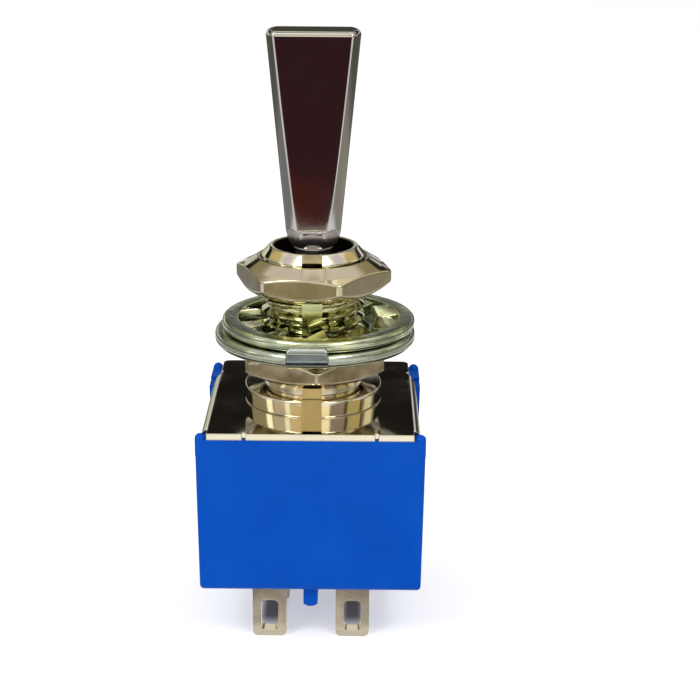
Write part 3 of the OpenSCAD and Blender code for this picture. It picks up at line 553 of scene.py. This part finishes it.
def half_thick(z):
    """Half thickness between the flats: 1.34 at their foot, a little more at the tip."""
    return 1.34 + (z - foot_z) * 0.007


# rows of (radius, half thickness between the flats, height): the tail, the ball and the neck
rows = [(0.0, UNCUT, tail_z), (0.85, UNCUT, tail_z), (0.9, UNCUT, tail_z + 0.05)]
rows += [(ball_r * np.cos(b), UNCUT, pivot_z + ball_r * np.sin(b))
         for b in np.radians(np.linspace(-62, 52, 16))]
rows += [(neck_r, UNCUT, pivot_z + 1.75)]
# a small lip, and over it the bat's rounded underside, with a facet front and back
rows += [(neck_r + out, UNCUT, neck_z + up)
         for out, up in ((0.0, -0.1), (0.08, -0.08), (0.14, -0.03), (0.15, 0.03), (0.12, 0.09))]
for z in np.linspace(neck_z + 0.14, foot_z - 0.07, 16):
    r = cone_r(foot_z) * np.sqrt(1 - ((foot_z + 0.02 - z) / 1.72) ** 2)
    facet = np.sqrt(r ** 2 - 0.42) if neck_z + 0.2 < z < foot_z - 0.16 else UNCUT
    rows.append((r, facet, z))
# the ledge that the milling cutter leaves at the foot of the flats
edge_r = cone_r(foot_z)
rows += [(edge_r, edge_r - 0.06 * (1 - np.cos(b)), foot_z - 0.06 * (1 - np.sin(b)))
         for b in np.radians(np.linspace(0, 90, 6))]
flat_z = np.concatenate([foot_z + np.array([0.0, 0.03, 0.08, 0.2]),
                         np.linspace(foot_z + 0.5, tip_z - tip_round - 0.12, 26),
                         tip_z - tip_round - np.array([0.06, 0.02, 0.0])])
rows += [(cone_r(z), half_thick(z), z) for z in flat_z]
# the rounding of the tip
for b in np.radians(np.linspace(0, 90, 11)[1:]):
    sink = tip_round * (1 - np.cos(b))
    z = tip_z - tip_round * (1 - np.sin(b))
    rows.append((cone_r(tip_z - tip_round) - sink, half_thick(tip_z) - sink, z))
big, thick, z = np.array(rows).T[:, :, None]
# the flats' edges, which the columns follow; below the flats they keep the place of the lowest
edge = np.arccos(np.clip(half_thick(np.maximum(z, foot_z)) / np.maximum(big, edge_r), 0, 1))
# columns: across the front flat, round the right side, across the back flat, round the left side
ease = (1 - np.cos(np.linspace(0, np.pi, 15)[:-1])) / 2
span_a = -edge + 2 * edge * ease
span_b = edge + (np.pi - 2 * edge) * ease
angle = np.concatenate([span_a, span_b, span_a + np.pi, span_b + np.pi], axis=1)
# the milled outline: least of the circle and the flats, merged over 0.012 mm at the foot and
# 0.05 mm at the tip, where tumbling has worn the edges most
to_flat = thick / np.maximum(np.abs(np.cos(angle)), 0.02)
soft = np.minimum(np.interp(z, [foot_z, tip_z], [0.012, 0.05]), thick)
least = np.minimum(big, to_flat) - soft * np.log1p(np.exp(-np.abs(big - to_flat) / soft))
radius = np.where(thick < UNCUT, np.maximum(least, 0.0), big + 0 * angle)
grid = np.stack([radius * np.sin(angle), -radius * np.cos(angle), z + 0 * angle], -1)

# bright chrome over nickel: a cool mirror with tumbling marks too shallow to see but as unevenness
chrome, tree, place, feed = material("bright_chrome", Metallic=1.0)
haze = noise(tree, place, 3, 4.0, Roughness=0.6)
tumbled = noise(tree, place, 1.1)
# under the bat the tumbling media don't reach, and the chrome there stays satin
gloss = add(tree, "ShaderNodeMapRange", [("Value", coordinate(tree, place, "Z")), ("To Max", remap(
    tree, haze, 0.3, 0.7, 0.03, 0.08))], From_Min=(foot_z - 0.2) * MM, From_Max=(foot_z + 0.1) * MM,
    To_Min=0.34).outputs["Result"]
feed(Base_Color=blend(tree, haze, "#B7B1B0", "#CBC8C6"), Roughness=gloss,
     Normal=relief(tree, tumbled, 0.15, 0.01))
surface("bat_lever", "lever", "lever_chrome", chrome, ["lever"], (grid, "capped"))

# ground and hardened steel pin: cool grey, glossier and duller in 0.1 mm specks
ground, tree, place, feed = material("ground_steel_pin", Metallic=1.0, Base_Color=linear("#A9A9AC"))
feed(Roughness=remap(tree, noise(tree, place, 0.1, 2.0), 0, 1, 0.15, 0.3))
dress(["pivot_pin"], ground)

# ---------------------------------------------------------------- stage
# A pale floor under an even sky, two soft boxes in front, and a reflection tent. Only glossy rays
# see the tent: its greys and black flags give the bright metal something to mirror.


def seen_directly(tree):
    """1 for the rays that see the white background: camera, glossy and transmission rays."""
    path = add(tree, "ShaderNodeLightPath").outputs
    two = calc(tree, "ADD", path["Is Camera Ray"], path["Is Glossy Ray"])
    return calc(tree, "ADD", two, path["Is Transmission Ray"], use_clamp=True)


def scenery(name, points, columns_close=False):
    """A grid of points in mm as a mesh that isn't part of the object."""
    rows, columns = points.shape[:2]
    index = np.arange(rows * columns).reshape(rows, columns)
    if columns_close:
        index = np.concatenate([index, index[:, :1]], axis=1)
    quads = np.stack([index[:-1, :-1], index[:-1, 1:], index[1:, 1:], index[1:, :-1]], -1)
    mesh = bpy.data.meshes.new(name)
    mesh.from_pydata((points.reshape(-1, 3) * MM).tolist(), [], quads.reshape(-1, 4).tolist())
    made = bpy.data.objects.new(name, mesh)
    bpy.context.scene.collection.objects.link(made)
    return made


side = np.linspace(-1500.0, 1500.0, 3)
ground_floor = scenery("floor", np.stack([*np.meshgrid(side, side), np.zeros((3, 3))], -1))
paper, tree, place, feed = material("matt_paper_floor", Roughness=0.9, Emission_Color=(1, 1, 1, 1))
tint = blend(tree, noise(tree, place, 1.5), "#F0F0EF", "#F4F4F3")
# a glow lifts the paper to white, and fades out along each pole's row of lugs, where the case keeps the light
# off the floor; there the paper is also painted darker, a painted shadow
from_row = calc(tree, "SUBTRACT", calc(tree, "ABSOLUTE", coordinate(tree, place, "X")), 2.43 * MM)
beside = remap(tree, calc(tree, "ABSOLUTE", from_row), 0.25 * MM, 1.1 * MM, 1.0, 0.0,
               interpolation_type="SMOOTHSTEP")
between_ends = remap(tree, calc(tree, "ABSOLUTE", coordinate(tree, place, "Y")), 2.4 * MM, 4.6 * MM, 1.0, 0.0,
                     interpolation_type="SMOOTHSTEP")
shade = calc(tree, "MULTIPLY", beside, between_ends)
glow = calc(tree, "MULTIPLY", seen_directly(tree), 0.42)
lift = calc(tree, "MULTIPLY", glow, calc(tree, "SUBTRACT", 1.0, shade))
feed(Base_Color=blend(tree, shade, tint, "#7E7B78"), Emission_Strength=lift)
ground_floor.data.materials.append(paper)

world = bpy.data.worlds.new("sky")
bpy.context.scene.world = world
world.use_nodes = True
tree = world.node_tree
sky = tree.nodes["Background"]
sky.inputs["Color"].default_value = (1, 1, 1, 1)
tree.links.new(remap(tree, seen_directly(tree), 0, 1, 0.62, 1.0), sky.inputs["Strength"])


def lobe(value, low, high, soft):
    """1 between low and high, falling smoothly to 0 over soft on both sides."""
    rise = np.clip(np.minimum(value - low, high - value) / soft + 0.5, 0, 1)
    return rise * rise * (3 - 2 * rise)


def painted(tone, cards):
    """Lays cards over a tone in turn. A card is a colour, and pairs of a grid of values with the
    card's low edge, high edge and softness there."""
    for colour, *edges in cards:
        share = np.prod([lobe(value, *limits) for value, limits in edges], axis=0)
        tone = tone + (np.array(colour) - tone) * share[..., None]
    return tone


# the tent's floor: azimuth from the front, to the right positive, and distance from the object,
# with rows closer together where cards meet
turn = np.radians(np.arange(-180, 180, 1.0))
far = np.array([2, 8, 14, 20, 26, 30, 33, 36, 40, 44, 47, 50, 53, 57, 62, 66, 70, 74, 78, 82, 86, 90, 94,
                96, 98, 100, 104, 112, 125, 145, 175, 220, 300, 420], float)
az, dist = np.meshgrid(np.degrees(turn), far)
off_front = np.abs(az)
far_off = (dist, (64, 999, 6))
under = painted(np.ones(az.shape + (3,)), [
    # far out, for the lever's round sides and the nuts' flats
    ((0.27, 0.27, 0.26), (az, (-175, -80, 24)), far_off),
    ((0.36, 0.35, 0.29), (az, (62, 170, 24)), far_off),
    ((0.10, 0.10, 0.08), (off_front, (160, 999, 14)), far_off),
    ((0.38, 0.34, 0.21), (az, (-36, -8, 4)), (dist, (58, 96, 4))),
    # the dark red card that the lever's flat looks at, redder towards its foot
    ((0.05, 0.018, 0.020), (off_front, (-99, 17, 9)), (dist, (91, 999, 3))),
    ((0.10, 0.022, 0.016), (az, (-14, -1, 6)), (dist, (88, 118, 8))),
    ((0.12, 0.12, 0.10), (off_front, (60, 999, 16)), (dist, (120, 999, 40))),
    # for the keyway: pale just under the front nut, gold above it at the bushing's mouth
    ((1.50, 1.62, 1.35), (off_front, (-99, 8, 3)), (dist, (66, 81, 2))),
    ((0.46, 0.36, 0.14), (off_front, (-99, 5, 3)), (dist, (82, 89.5, 2))),
    # nearer, for the plate's front edge, the rear nut, the washers' rims and the tab between them
    ((1.35, 1.32, 1.25), (off_front, (-99, 25, 4)), (dist, (33, 45, 4))),
    ((0.22, 0.19, 0.13), (off_front, (14, 999, 8)), (dist, (43, 54, 2))),
    ((1.45, 1.45, 1.30), (off_front, (12, 70, 12)), (dist, (54, 61, 2))),
    ((0.05, 0.055, 0.07), (off_front, (-9, 12, 5)), (dist, (52, 66, 2))),
    # the foot: a dark cloth, so that nothing washes out the case's blue, and a pale one for the lugs
    ((0.04, 0.04, 0.04), (dist, (-99, 32, 4))),
    ((1.25, 1.22, 1.10), (dist, (-99, 12.5, 2)))])

# the tent's roof: azimuth from the back, to the right positive, and elevation
rise = np.radians(np.concatenate([np.arange(0, 14, 1.0), np.arange(14, 42, 0.5), np.arange(42, 90.1, 3.0)]))
back, height = np.meshgrid(np.degrees(turn), np.degrees(rise))
sides = np.abs(back)
front = np.mod(-back, 360) - 180
band = ((height, (13, 34, 3)), (sides, (62, 999, 8)))
over = painted(np.full(back.shape + (3,), 0.90), [
    ((0.34, 0.34, 0.33), (sides, (48, 130, 24)), (height, (-9, 40, 14))),
    # what the nuts' domes look at, to the back, and the ends' bevels and the cones, overhead
    ((0.40, 0.36, 0.24), (sides, (-9, 60, 16)), (height, (24, 46, 8))),
    ((1.10, 1.04, 0.82), (sides, (-9, 26, 10)), (height, (50, 72, 8))),
    ((1.90, 1.86, 1.70), (back, (6, 14, 4)), (height, (54, 68, 4))),
    ((0.66, 0.54, 0.26), (sides, (52, 80, 10)), (height, (28, 48, 8))),
    ((0.74, 0.68, 0.82), (sides, (82, 108, 8)), (height, (46, 62, 6))),
    ((2.20, 2.18, 2.10), (sides, (115, 142, 8)), (height, (58, 76, 6))),
    ((1.90, 1.88, 1.80), (sides, (152, 999, 8)), (height, (60, 77, 4))),
    ((0.22, 0.19, 0.10), (height, (79, 88, 4))),
    # vertical streaks, by azimuth from the front, that the flange shows by way of the plate
    ((0.42, 0.39, 0.28), *band),
    ((1.00, 0.80, 0.50), (front, (-37, -9, 3)), *band),
    ((1.60, 1.56, 1.36), (front, (-47, -38, 3)), *band),
    ((0.80, 0.70, 0.60), (front, (-68, -47, 4)), *band),
    ((2.00, 1.96, 1.75), (front, (-83, -71, 3)), *band),
    ((0.78, 0.62, 0.34), (front, (-8, 5, 2)), *band),
    ((0.10, 0.06, 0.02), (front, (5, 11, 2)), *band),
    ((1.60, 1.50, 1.15), (front, (13, 29, 3)), *band),
    ((0.40, 0.32, 0.31), (front, (30, 55, 4)), *band),
    ((0.06, 0.04, 0.02), (front, (55, 60, 2)), *band),
    ((0.66, 0.56, 0.26), (front, (62, 87, 3)), *band),
    ((0.10, 0.06, 0.03), (front, (87, 92, 2)), *band),
    ((1.10, 1.04, 0.80), (front, (98, 118, 4)), *band),
    ((0.10, 0.08, 0.05), (np.abs(front), (126, 999, 8)), *band),
    ((1.50, 1.60, 1.15), (sides, (168, 999, 8)), (height, (6, 18, 2))),
    # the black flag for the plate, and cards for the lever's top and the right and left folds
    ((0.012, 0.011, 0.010), (sides, (-9, 56, 8)), (height, (17.3, 27, 1.5))),
    ((0.06, 0.06, 0.045), (sides, (-9, 16, 4)), (height, (7.5, 14.5, 1.5))),
    ((0.05, 0.05, 0.04), (back, (13, 46, 4)), (height, (-9, 12, 3))),
    ((0.62, 0.62, 0.44), (back, (-44, -15, 4)), (height, (-9, 12, 3)))])


def tent(name, points, tone):
    """A lit sheet of the tent, seen by glossy rays alone, with a colour at each point."""
    made = scenery(name, points, columns_close=True)
    attribute = made.data.color_attributes.new("tone", "FLOAT_COLOR", "POINT")
    rgba = np.concatenate([tone, np.ones(tone.shape[:2] + (1,))], -1)
    attribute.data.foreach_set("color", rgba.astype(np.float32).ravel())
    cloth = bpy.data.materials.new(name + "_cloth")
    cloth.use_nodes = True
    tree = cloth.node_tree
    tree.nodes.clear()
    colour = add(tree, "ShaderNodeAttribute", attribute_name="tone")
    glow = add(tree, "ShaderNodeEmission", [("Color", colour.outputs["Color"])], Strength=1.0)
    add(tree, "ShaderNodeOutputMaterial", [("Surface", glow.outputs[0])])
    made.data.materials.append(cloth)
    for kind in ("camera", "diffuse", "transmission", "volume_scatter", "shadow"):
        setattr(made, "visible_" + kind, False)


tent_z, roof_r = 0.4, 420
tent("tent_floor", np.stack([dist * np.sin(np.radians(az)), -dist * np.cos(np.radians(az)),
                             np.full(az.shape, tent_z)], -1), under)
reach = roof_r * np.cos(np.radians(height))
tent("tent_roof", np.stack([reach * np.sin(np.radians(back)), reach * np.cos(np.radians(back)),
                            tent_z + roof_r * np.sin(np.radians(height))], -1), over)


def soft_box(name, azimuth, elevation, distance, size, power):
    """A square area lamp that looks at the object's middle, 17 mm up, from an azimuth off the front;
    in degrees, mm and watts."""
    lamp = bpy.data.lights.new(name, "AREA")
    lamp.size, lamp.energy = size * MM, power
    box = bpy.data.objects.new(name, lamp)
    bpy.context.scene.collection.objects.link(box)
    a, e = np.radians(azimuth), np.radians(elevation)
    away = np.array([np.sin(a) * np.cos(e), -np.cos(a) * np.cos(e), np.sin(e)])
    across = np.array([np.cos(a), np.sin(a), 0.0])
    pose = np.eye(4)
    pose[:3, 0], pose[:3, 1], pose[:3, 2] = across, np.cross(away, across), away
    pose[:3, 3] = (away * distance + (0, 0, 17)) * MM
    box.matrix_world = Matrix(pose.tolist())


soft_box("soft_box_left", -42, 46, 340, 110, 0.30)
soft_box("soft_box_right", 36, 50, 340, 80, 0.22)

bpy.context.scene.view_settings.view_transform = "Standard"

# the camera stands in front, a little to the right and above, and looks down by 18 degrees;
# lengths are in mm
distance, eye_z = 91.85, 45.36
azimuth, pitch, yaw, roll = np.radians([1.488, 17.724, -1.342, 0.442])
eye = np.array([distance * np.sin(azimuth), -distance * np.cos(azimuth), eye_z])
heading = yaw + azimuth
ahead = np.array([-np.sin(heading) * np.cos(pitch), np.cos(heading) * np.cos(pitch), -np.sin(pitch)])
level_right = np.array([np.cos(heading), np.sin(heading), 0])
right = np.cos(roll) * level_right + np.sin(roll) * np.cross(level_right, ahead)
camera = bpy.data.objects.new("camera", bpy.data.cameras.new("camera"))
bpy.context.scene.collection.objects.link(camera)
pose = np.eye(4)
pose[:3, 0], pose[:3, 1], pose[:3, 2], pose[:3, 3] = right, np.cross(right, ahead), -ahead, eye * MM
camera.matrix_world = Matrix(pose.tolist())
camera.data.sensor_width, camera.data.lens = 36, 84.4524
camera.data.clip_start = 0.001
bpy.context.scene.camera = camera
